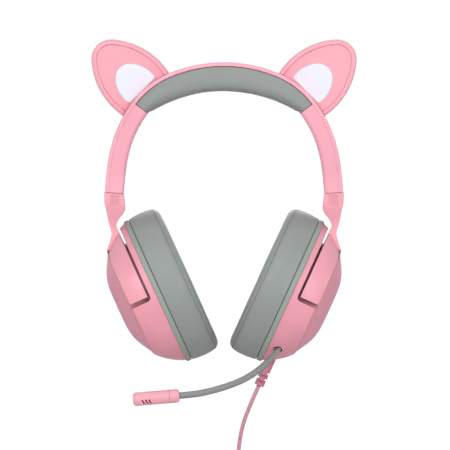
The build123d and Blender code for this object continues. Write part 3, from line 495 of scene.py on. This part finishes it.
def rubber(name, colour):
    """Soft rubber, with painted shade where it goes into a hole or lies in a crevice."""
    s = Surface(name)
    base = linear(colour)
    tone = s.mix(s.noise(60.0, 4.0), scaled(base, 0.9), base)
    s.set(Base_Color=s.painted_crevice_shade(tone, scaled(base, 0.12), 4 * MM, 0.25, 0.65))
    s.set(Roughness=s.spread(s.noise(500.0), 0.46, 0.6))
    s.bump(s.noise(1600.0, 2.0), 0.02 * MM, 0.5)
    return s.done()


def bore_painted_dark(name, colour, bore_shade, start, end, radius):
    """Moulded ring with painted shade in its bore about the line from start to end."""
    s = Surface(name)
    base = linear(colour)
    way = (Vector(end) - Vector(start)).normalized()
    away = s.vector("SUBTRACT", "Vector", s.place, start)
    far = s.vector("LENGTH", "Value", s.vector("CROSS_PRODUCT", "Vector", away, tuple(way)))
    rim = s.spread(far, 0.0, 1.0, radius * 1.01, radius * 1.06)
    tint = s.mix(s.noise(60.0), scaled(base, 0.93), base)
    s.set(Base_Color=s.mix(rim, linear(bore_shade), tint))
    s.set(Roughness=s.spread(s.noise(90.0), 0.42, 0.55))
    s.bump(s.noise(2200.0, 2.0), 0.012 * MM, 0.35)
    return s.done()


def braided(name, colour, pitch=1.5 * MM, strands=5):
    """Woven sleeve on the cable: two sets of slanted yarns crossing, laid out along its length."""
    s = Surface(name)
    base = linear(colour)
    run = s.node("ShaderNodeUVMap", uv_map="run").outputs["UV"]
    split = s.node("ShaderNodeSeparateXYZ", {"Vector": run})
    along = s.maths("MULTIPLY", split.outputs["X"], 2 * math.pi / pitch)
    around = s.maths("MULTIPLY", split.outputs["Y"], 2 * math.pi * strands)
    one = s.maths("SINE", s.maths("ADD", along, around))
    two = s.maths("SINE", s.maths("SUBTRACT", along, around))
    weave = s.spread(s.maths("MAXIMUM", one, two), 0.0, 1.0, -0.7, 0.9)
    tint = s.mix(s.noise(120.0), scaled(base, 0.92), base)
    s.set(Base_Color=s.mix(weave, scaled(base, 0.45), tint))
    s.set(Roughness=s.spread(s.noise(900.0), 0.6, 0.8), Sheen_Weight=0.3, Sheen_Roughness=0.4)
    s.bump(weave, 0.2 * MM, 0.8)
    return s.done()


def light_window(name):
    """Milky window with a faint glow of its own."""
    s = Surface(name)
    milk = s.mix(s.noise(60.0, 2.0), (0.745, 0.78, 0.86), (0.77, 0.80, 0.885))
    s.set(Base_Color=milk, Roughness=s.spread(s.noise(200.0), 0.3, 0.4))
    s.set(Emission_Color=(0.90, 0.93, 1.0), Emission_Strength=0.1)
    s.set(Subsurface_Weight=0.2, Subsurface_Scale=0.002)
    s.soften(0.3 * MM)
    return s.done()


def board(name):
    """Circuit board: green lacquer with a grid of paler lines."""
    s = Surface(name)
    inputs = {"Vector": s.place, "Scale": 260.0, "Mortar Size": 0.012}
    lines = s.node("ShaderNodeTexBrick", inputs).outputs["Fac"]
    s.set(Base_Color=s.mix(lines, (0.02, 0.11, 0.05), (0.05, 0.25, 0.10)))
    s.set(Roughness=s.spread(s.noise(300.0), 0.35, 0.5))
    s.bump(lines, 0.03 * MM, 0.5)
    return s.done()


def film(name):
    """Dark glossy film of a driver."""
    s = Surface(name)
    s.set(Base_Color=s.mix(s.noise(40.0), (0.10, 0.10, 0.11), (0.16, 0.16, 0.17)))
    s.set(Roughness=s.spread(s.noise(300.0), 0.2, 0.35), Coat_Weight=0.4)
    s.bump(s.noise(500.0), 0.03 * MM, 0.5)
    return s.done()


SHELL = moulded("shell_pink", (249, 173, 187))
COVER = moulded("cover_pink", (253, 174, 190), rough=(0.3, 0.42), coat=0.15)
# a lighter painted shade along its edges than the other pinks
TRIM = moulded("trim_pink", (246, 167, 182), rough=(0.34, 0.46), edge_shade=0.8)
HOUSING = moulded("housing_pink", (241, 161, 178), rough=(0.36, 0.48), edge=0.5)
RING = moulded("ring_grey", (152, 163, 157), rough=(0.5, 0.62), grain=1500.0, depth=0.03)
DARK = moulded("dark_plastic", (52, 50, 52), rough=(0.4, 0.55))
SCREW = metal("screw_steel", (150, 150, 152))
STEEL = metal("steel", (190, 190, 192))
SPRING = metal("spring_steel", (120, 122, 128))
MAGNET = metal("magnet_metal", (110, 112, 116), rough=(0.35, 0.5))
LEATHER = leatherette("cushion_leather", (149, 155, 152))
WINDOW = light_window("window_white")
BOARD = board("board_green")
FILM = film("driver_film")
BOOM = rubber("boom_rubber", (141, 145, 144))
# the near-black colour is painted shade inside the socket's bore
SOCKET = bore_painted_dark("socket_pink", (238, 162, 178), (30, 28, 30), BOOM_ROUTE[0], BOOM_ROUTE[1], SOCKET_BORE)
CABLE = braided("cable_braid", (232, 166, 180))
TIE = rubber("tie_rubber", (60, 58, 60))
RELIEF = moulded("relief_pink", (192, 116, 134), rough=(0.45, 0.58), grain=1500.0)
CONTACT = metal("plug_metal", (200, 200, 202))
DOMES = {name: perforated(f"dome_skin_{name}", (245, 167, 188), side) for name, side in SIDES.items()}
SCREENS = {
    name: knitted(f"screen_cloth_{name}", (120, 124, 123), 1.1 * MM, (0, -side * (math.pi / 2 + LEAN), 0))
    for name, side in SIDES.items()
}

FINISH = {
    "headband_cover": COVER,
    "headband_frame": COVER,
    "headband_spring": SPRING,
    "volume_wheel": DARK,
    "volume_pot": STEEL,
    "audio_board": BOARD,
    "mute_button": DARK,
    "mic_socket": SOCKET,
    "mic_collar": SHELL,
    "mic_capsule": SHELL,
    "mic_element": MAGNET,
    "strain_relief": RELIEF,
    "cable_tie": TIE,
    "usb_plug_body": RELIEF,
    "usb_plug_shell": CONTACT,
}
for name in SIDES:
    FINISH.update({
        f"ear_front_shell_{name}": SHELL,
        f"ear_back_shell_{name}": SHELL,
        f"ear_diffuser_{name}": WINDOW,
        f"ear_light_board_{name}": BOARD,
        f"ear_clip_{name}": TRIM,
        f"slider_strip_{name}": STEEL,
        f"yoke_{name}": TRIM,
        f"yoke_cap_{name}": TRIM,
        f"pivot_pins_{name}": STEEL,
        f"cup_housing_{name}": HOUSING,
        f"cup_cover_{name}": DOMES[name],
        f"cup_badge_{name}": TRIM,
        f"baffle_{name}": DARK,
        f"baffle_screws_{name}": SCREW,
        f"driver_frame_{name}": DARK,
        f"driver_magnet_{name}": MAGNET,
        f"driver_diaphragm_{name}": FILM,
        f"cushion_screen_{name}": SCREENS[name],
        f"cushion_ring_{name}": RING,
    })
for name, material in FINISH.items():
    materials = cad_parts[name].data.materials
    if not materials:
        materials.append(material)
    for slot in range(len(materials)):
        materials[slot] = material
lead.data.materials.append(CABLE)

# ------------------------------------------------------------------ microphone boom
BOOM_RADIUS = 2.3 * MM
BOOM_ROOT = 1.75 * MM
BOOM_THIN = 9 * MM  # distance run where it starts to thicken
BOOM_FULL = 30 * MM
BOOM_STEP = 0.55 * MM


def boom_radius(run):
    """Thinner in the cup's wall, and full size from the first bend on."""
    share = min(1.0, max(0.0, (run - BOOM_THIN) / (BOOM_FULL - BOOM_THIN)))
    return BOOM_ROOT + (BOOM_RADIUS - BOOM_ROOT) * share


boom_line = even(spline_points(BOOM_ROUTE), BOOM_STEP)
boom = tube("mic_boom_sleeve", boom_line, boom_radius, sides=24)
boom.data.materials.append(BOOM)
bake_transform(boom)
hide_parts("mic_boom")

# ------------------------------------------------------------------ padded pieces
CLOTH_PRESSURE = 4.0
CLOTH_QUALITY = 5
CLOTH_FRAMES = 20


def apply_all(obj):
    """Applies every modifier of a piece."""
    for other in bpy.context.selected_objects:
        other.select_set(False)
    obj.select_set(True)
    bpy.context.view_layer.objects.active = obj
    for modifier in list(obj.modifiers):
        bpy.ops.object.modifier_apply(modifier=modifier.name)


def coordinates(mesh):
    co = np.zeros(len(mesh.vertices) * 3)
    mesh.vertices.foreach_get("co", co)
    return co.reshape(-1, 3)


def write(mesh, co):
    mesh.vertices.foreach_set("co", np.asarray(co, float).ravel())
    mesh.update()


def vertex_normals(mesh):
    return np.array([tuple(v.normal) for v in mesh.vertices])


def swell(obj, still, inset, cap):
    """Blows a skin up as cloth from a slightly smaller form, by no more than the cap."""
    start = coordinates(obj.data)
    start = start - vertex_normals(obj.data) * inset * (1 - np.asarray(still, float))[:, None]
    write(obj.data, start)
    cloth = obj.modifiers.new("cloth", "CLOTH")
    cloth.settings.use_pressure = True
    cloth.settings.uniform_pressure_force = CLOTH_PRESSURE
    cloth.settings.vertex_group_mass = "held"
    cloth.settings.effector_weights.gravity = 0.0
    cloth.settings.quality = CLOTH_QUALITY
    cloth.point_cache.frame_start = 1
    cloth.point_cache.frame_end = CLOTH_FRAMES
    for number in range(1, CLOTH_FRAMES + 1):
        scene.frame_set(number)
    apply_all(obj)
    scene.frame_set(1)
    moved = coordinates(obj.data) - start
    length = np.linalg.norm(moved, axis=1)
    share = np.minimum(1.0, cap / np.maximum(length, 1e-9))
    write(obj.data, start + moved * share[:, None])
    smooth = obj.modifiers.new("smooth", "SMOOTH")
    smooth.factor = 0.5
    smooth.iterations = 2
    smooth.vertex_group = "free"


def filled(obj, still, inset, cap):
    """Turns a skin into filled cloth, held in its place where still is 1."""
    free = obj.vertex_groups.new(name="free")
    held = obj.vertex_groups.new(name="held")
    for number, weight in enumerate(still):
        (held if weight > 0.5 else free).add([number], 1.0, "REPLACE")
    swell(obj, still, inset, cap)
    divide = obj.modifiers.new("divide", "SUBSURF")
    divide.levels = 1
    apply_all(obj)
    shade_smooth(obj.data)
    obj.vertex_groups.clear()
    return obj


def surface_line(obj, origins, directions):
    """Where rays from these points first meet a piece, coming from outside."""
    tree = BVHTree.FromPolygons(
        [v.co for v in obj.data.vertices], [tuple(f.vertices) for f in obj.data.polygons]
    )
    line = []
    for origin, direction in zip(origins, directions):
        spot, normal, _, _ = tree.ray_cast(origin, direction)
        if spot is not None:
            line.append((spot, normal))
    return line


def stitches(name, line, length=2.2 * MM, radius=0.17 * MM, share=0.62):
    """Sewn thread: short capsules lying along a line on the surface."""
    points = even([p for p, _ in line] + [line[0][0]], length)
    normals = [n for _, n in line]
    spots = [p for p, _ in line]
    bm = bmesh.new()
    for first, second in zip(points, points[1:]):
        middle = (first + second) / 2
        way = (second - first).normalized()
        near = min(range(len(spots)), key=lambda k: (spots[k] - middle).length_squared)
        up = normals[near]
        turn = Matrix((way, up.cross(way), up)).transposed().to_4x4()
        size = Matrix.Diagonal((length * share / 2, radius, radius, 1.0))
        place = Matrix.Translation(middle + up * radius * 0.35) @ turn @ size
        bmesh.ops.create_uvsphere(bm, u_segments=8, v_segments=6, radius=1.0, matrix=place)
    obj = built(name, bm)
    shade_smooth(obj.data)
    return obj


# ------------------------------------------------------------------ ear cushions
THREAD = rubber("stitch_thread", (136, 140, 137))
# the piping is a real cord of the cover, coloured darker as painted shade of the seam's groove
PIPING = rubber("seam_piping", (114, 119, 117))

# the cushion's section, in mm: place on the cup's outward axis, half length and half width
CUSHION_WALL = (
    (-3.95, 51.5, 44.1), (-3.95, 53.2, 45.8), (-4.3, 54.0, 46.6), (-5.2, 54.6, 47.2), (-6.8, 55.0, 47.6),
    (-8.8, 55.2, 47.8), (-11.0, 55.35, 47.95), (-13.2, 55.4, 48.0), (-15.4, 55.4, 48.0),
    (-17.5, 55.25, 47.85), (-19.3, 55.0, 47.6), (-20.8, 54.7, 47.3), (-21.8, 54.3, 46.9),
    (-22.4, 53.3, 45.9), (-23.0, 53.6, 46.2), (-23.9, 53.2, 45.8), (-24.8, 52.5, 45.1),
    (-25.6, 51.5, 44.1), (-26.2, 50.2, 42.8), (-26.5, 48.6, 41.2), (-26.65, 46.9, 39.5),
    (-26.7, 45.0, 37.6), (-26.65, 42.8, 35.5), (-26.5, 40.8, 33.6), (-26.1, 39.0, 31.9),
    (-25.4, 37.6, 30.5), (-24.4, 36.6, 29.5), (-23.3, 36.1, 29.1), (-22.7, 36.7, 29.7),
    (-22.1, 35.6, 28.6), (-20.4, 34.9, 27.9), (-18.2, 34.3, 27.3), (-15.8, 33.8, 26.8),
    (-13.2, 33.5, 26.5), (-10.6, 33.5, 26.5), (-8.2, 33.7, 26.7), (-6.2, 34.0, 27.0),
    (-4.6, 34.3, 27.3), (-3.95, 35.0, 28.0), (-3.95, 38.0, 31.0), (-3.95, 42.0, 35.0),
    (-3.95, 46.0, 38.8), (-3.95, 49.0, 41.6),
)
SEAM_HEIGHTS = (-22.4, -22.7)
GLUED_HEIGHT = -4.4  # nearer to the cup than this, the cover is held flat
PUCKER_HEIGHT = -20.6
STITCH_HEIGHT = -21.2
PIPING_STEP = 1.25  # from the stitches on towards the cushion's face
PIPING_RADIUS = 0.27 * MM
HALF_LENGTH = 55
HALF_WIDTH = 48
AROUND = 150
SEAM_STEPS = 180


def crumple(obj, name, side):
    """Adds the small puckers that run off the seam, and the slow waves of covered foam."""
    middle, down, across, out = cup_axes(name, side)
    axes = np.array([tuple(down), tuple(across), tuple(out)])
    places = coordinates(obj.data)
    local = (places - np.array(middle)) @ axes.T
    along, wide, height = local[:, 0], local[:, 1], local[:, 2]
    angle = np.arctan2(wide / HALF_WIDTH, along / HALF_LENGTH)
    outer = np.clip((np.hypot(along / HALF_LENGTH, wide / HALF_WIDTH) / MM - 0.84) / 0.06, 0, 1)
    near = np.exp(-((height - PUCKER_HEIGHT * MM) / (2.2 * MM)) ** 2) * outer
    ripple = np.sin(angle * 46 + 2.2 * np.sin(angle * 9)) * (0.6 + 0.4 * np.sin(angle * 5 + 1.3))
    waves = np.array([noise.noise(Vector(p) * 34.0 + Vector((side * 3, 0, 0))) for p in places])
    push = 0.07 * near * ripple + 0.25 * waves * np.clip((-6.5 * MM - height) / (4 * MM), 0, 1)
    write(obj.data, places + vertex_normals(obj.data) * (push * MM)[:, None])


def sew(obj, name, side):
    """The row of stitches and the piping round a cushion's seam."""
    middle, down, across, out = cup_axes(name, side)
    starts = []
    ways = []
    for step in range(SEAM_STEPS):
        turn = 2 * math.pi * step / SEAM_STEPS
        ray = (down * math.cos(turn) * HALF_LENGTH + across * math.sin(turn) * HALF_WIDTH).normalized()
        starts.append(middle + out * STITCH_HEIGHT * MM + ray * 0.08)
        ways.append(-ray)
    thread = stitches(f"cushion_stitch_{name}", surface_line(obj, starts, ways))
    thread.data.materials.append(THREAD)
    starts = [start - out * PIPING_STEP * MM for start in starts]
    line = [spot for spot, _ in surface_line(obj, starts, ways)]
    piping = tube(f"cushion_piping_{name}", line, PIPING_RADIUS, sides=8, closed=True)
    piping.data.materials.append(PIPING)
    for piece in (thread, piping):
        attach(piece, f"cup_{name}")


def cushion(name, side):
    """One ear cushion: an oval ring of filled cloth with a sewn and piped seam."""
    node = f"ear_cushion_{name}"
    middle, down, across, out = cup_axes(name, side)
    rows = []
    still = []
    for step in range(AROUND):
        angle = 2 * math.pi * step / AROUND
        row = []
        for height, long, wide in CUSHION_WALL:
            spot = down * long * math.cos(angle) + across * wide * math.sin(angle) + out * height
            row.append(middle + spot * MM)
            still.append(1.0 if height > GLUED_HEIGHT or height in SEAM_HEIGHTS else 0.0)
        rows.append(row)
    obj = filled(skin(f"ear_cushion_cover_{name}", rows, True), still, 0.8 * MM, 0.95 * MM)
    crumple(obj, name, side)
    obj.data.materials.append(LEATHER)
    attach(obj, f"cup_{name}")
    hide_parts(node)
    sew(obj, name, side)


for name, side in SIDES.items():
    cushion(name, side)

# ------------------------------------------------------------------ crown pad
BAND_TOP = 20.0
BAND_RADII = (100.0, 62.0, 88.0, 125.0)
BAND_TURNS = (22.0, 30.0, 24.0, 9.0)
BAND_RUN = 11.9
BAND_THICK = 13.3
PAD_TOP = 3.0  # below the band's outside
PAD_TURN = 52.95
PAD_HALF = 17.0
PAD_ROUND = 6.0
PAD_ROWS = 110
PAD_ENDS = 0.996  # an extra row this near to each end keeps the end's edge crisp


def band_point(offset, turn):
    """Point of the band's right half at an inward offset, where it has turned so far."""
    x, z, done = 0.0, BAND_TOP - offset, 0.0
    for radius, step in zip(BAND_RADII, BAND_TURNS):
        now = min(done + step, max(turn, done))
        x += (radius - offset) * (math.sin(math.radians(now)) - math.sin(math.radians(done)))
        z -= (radius - offset) * (math.cos(math.radians(done)) - math.cos(math.radians(now)))
        done += step
    return x, z


def pad_loop(thick):
    """One section of the pad: place across it, height above its underside, held or not."""
    half = []
    for y in (0.0, 2.4, 4.8, 7.2, 9.4):
        half.append((y, 0.0, 0.0))
    for step in range(6):
        turn = math.radians(18 * step)
        far = PAD_HALF - PAD_ROUND
        half.append((far + PAD_ROUND * math.sin(turn), PAD_ROUND * (1 - math.cos(turn)), 0.0))
    for share in (0.25, 0.5, 0.75):
        half.append((PAD_HALF, PAD_ROUND + (thick - 0.9 - PAD_ROUND) * share, 0.0))
    half.append((PAD_HALF, thick - 0.9, 1.0))
    half.append((PAD_HALF - 0.1, thick - 0.2, 1.0))
    half.append((PAD_HALF - 0.5, thick, 1.0))
    for y in (13.5, 10.8, 8.1, 5.4, 2.7, 0.0):
        half.append((y, thick, 1.0))
    return half + [(-y, h, still) for y, h, still in reversed(half[1:-1])]


def crown_pad():
    """The padded crown: a skin between the band's curve and the flatter arc of its underside."""
    end_x, end_z = band_point(BAND_THICK, PAD_TURN)
    radius = (end_x**2 + end_z**2) / (2 * -end_z)
    end_turn = math.asin(end_x / radius)
    shares = list(np.linspace(-1.0, 1.0, PAD_ROWS))
    shares[1:1] = [-PAD_ENDS]
    shares[-1:-1] = [PAD_ENDS]
    end_rows = (0, 1, len(shares) - 2, len(shares) - 1)
    rows = []
    still = []
    for number, share in enumerate(shares):
        sign = 1 if share > 0 else -1
        x, z = band_point(PAD_TOP, abs(share) * PAD_TURN)
        top = Vector((sign * x, 0, z))
        turn = abs(share) * end_turn
        under = Vector((sign * radius * math.sin(turn), 0, -radius * (1 - math.cos(turn))))
        up = (top - under).normalized()
        row = []
        for y, height, fixed in pad_loop((top - under).length):
            row.append((under + up * height + Vector((0, y, 0))) * MM)
            still.append(1.0 if number in end_rows else fixed)
        rows.append(row)
    obj = filled(skin("crown_pad_cover", rows, False), still, 0.6 * MM, 0.7 * MM)
    places = coordinates(obj.data)
    normals = vertex_normals(obj.data)
    # slow waves of foam held by its cover, fading towards both ends
    waves = np.array([noise.noise(Vector(p) * 30.0) for p in places])
    fade = np.clip((end_x * MM - np.abs(places[:, 0])) / (6 * MM), 0, 1) * (normals[:, 2] < 0.5)
    write(obj.data, places + normals * (0.25 * waves * fade * MM)[:, None])
    obj.data.materials.append(LEATHER)
    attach(obj, "headband")
    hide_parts("headband_pad")


crown_pad()

# ------------------------------------------------------------------ painted seam shade: a dark sheet on each yoke
# a dark maroon sheet that stands in for the shade in the seam between block and band
SEAM_SHADE = knitted("seam_shade_cloth", (120, 66, 78), 0.5 * MM)
SEAM_SHADE_SPAN = (0.25, 13.0)  # inward from the band's outside
SEAM_SHADE_HALF = 12.8
SEAM_SHADE_CORNER = 1.0
SEAM_SHADE_DEEP = 5.3  # from its middle to the centres of its corners
SEAM_SHADE_HEIGHTS = (0.03, 0.22)  # below the band's end


def seam_shade_sheet(name, side):
    """Thin dark sheet on top of the yoke's block: painted shade for the line between block and band."""
    slope = math.radians(sum(BAND_TURNS))
    x, z = band_point(0.0, sum(BAND_TURNS))
    down = Vector((side * math.cos(slope), 0, -math.sin(slope)))
    out = Vector((side * math.sin(slope), 0, math.cos(slope)))
    tip = Vector((side * x, 0, z)) + down * BAND_RUN
    rows = []
    for height in SEAM_SHADE_HEIGHTS:
        row = []
        for quarter in range(4):
            for step in range(5):
                turn = math.pi / 2 * (quarter + step / 4)
                wide = SEAM_SHADE_CORNER * math.cos(turn)
                wide += (SEAM_SHADE_HALF - SEAM_SHADE_CORNER) * (1 if quarter in (0, 3) else -1)
                deep = SEAM_SHADE_CORNER * math.sin(turn) + SEAM_SHADE_DEEP * (1 if quarter in (0, 1) else -1)
                spot = tip + down * height - out * (sum(SEAM_SHADE_SPAN) / 2 + deep)
                row.append((spot + Vector((0, wide, 0))) * MM)
        rows.append(row)
    obj = skin(f"slider_seam_shade_{name}", rows, False)
    obj.data.materials.append(SEAM_SHADE)
    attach(obj, f"slider_{name}")


for name, side in SIDES.items():
    seam_shade_sheet(name, side)

# ------------------------------------------------------------------ floor, light and background
FLOOR_Z = cad_box[0][2] - 45 * MM  # clear of the plug when the sliders are drawn out
FLOOR_REACH = 4.0
FLOOR_GLOW = 0.42  # evens out the floor where the camera sees it
ROOM_SEEN = 1.05  # the white room where it is seen or mirrored
ROOM_LIGHT = 0.1  # the same room as a light
WHITE = (1.0, 1.0, 1.0)

floor_mesh = bpy.data.meshes.new("floor")
floor_corners = [(-1, -1), (1, -1), (1, 1), (-1, 1)]
floor_mesh.from_pydata(
    [(x * FLOOR_REACH, y * FLOOR_REACH, FLOOR_Z) for x, y in floor_corners],
    [],
    [(0, 1, 2, 3)],
)
floor = link("floor", floor_mesh)
paint = Surface("floor_white")
seen = paint.node("ShaderNodeLightPath").outputs["Is Camera Ray"]
paint.set(Base_Color=paint.mix(paint.noise(3.0), (0.90, 0.90, 0.90), (0.93, 0.93, 0.93)), Roughness=0.9)
paint.set(Emission_Color=WHITE, Emission_Strength=paint.maths("MULTIPLY", seen, FLOOR_GLOW))
floor_mesh.materials.append(paint.done())


def softbox(name, place, size, energy):
    """A square area light, aimed at the middle of the picture."""
    data = bpy.data.lights.new(name, "AREA")
    data.shape = "SQUARE"
    data.size = size
    data.energy = energy
    lamp = link(name, data)
    lamp.location = place
    lamp.rotation_euler = (CENTRE - Vector(place)).to_track_quat("-Z", "Y").to_euler()


softbox("key", (-0.9, -3.0, 1.2), 1.2, 42.5)
softbox("fill", (1.2, -3.1, 0.5), 1.2, 29.5)
softbox("top", (0.0, -0.3, 2.0), 1.6, 10.0)
softbox("rear", (0.0, 2.8, 1.0), 1.4, 18.0)
for side in SIDES.values():
    softbox(f"side_{side}", (side * 2.6, -0.7, 0.1), 1.4, 13.0)

world = bpy.data.worlds.new("world")
scene.world = world
world.use_nodes = True
nodes = world.node_tree.nodes
links = world.node_tree.links
shown = nodes["Background"]
light = nodes.new("ShaderNodeBackground")
for background, strength in ((shown, ROOM_SEEN), (light, ROOM_LIGHT)):
    background.inputs["Color"].default_value = (*WHITE, 1.0)
    background.inputs["Strength"].default_value = strength
rays = nodes.new("ShaderNodeLightPath")
choose = nodes.new("ShaderNodeMixShader")
links.new(rays.outputs["Is Diffuse Ray"], choose.inputs[0])
links.new(shown.outputs[0], choose.inputs[1])
links.new(light.outputs[0], choose.inputs[2])
links.new(choose.outputs[0], nodes["World Output"].inputs["Surface"])
scene.view_settings.view_transform = "Standard"
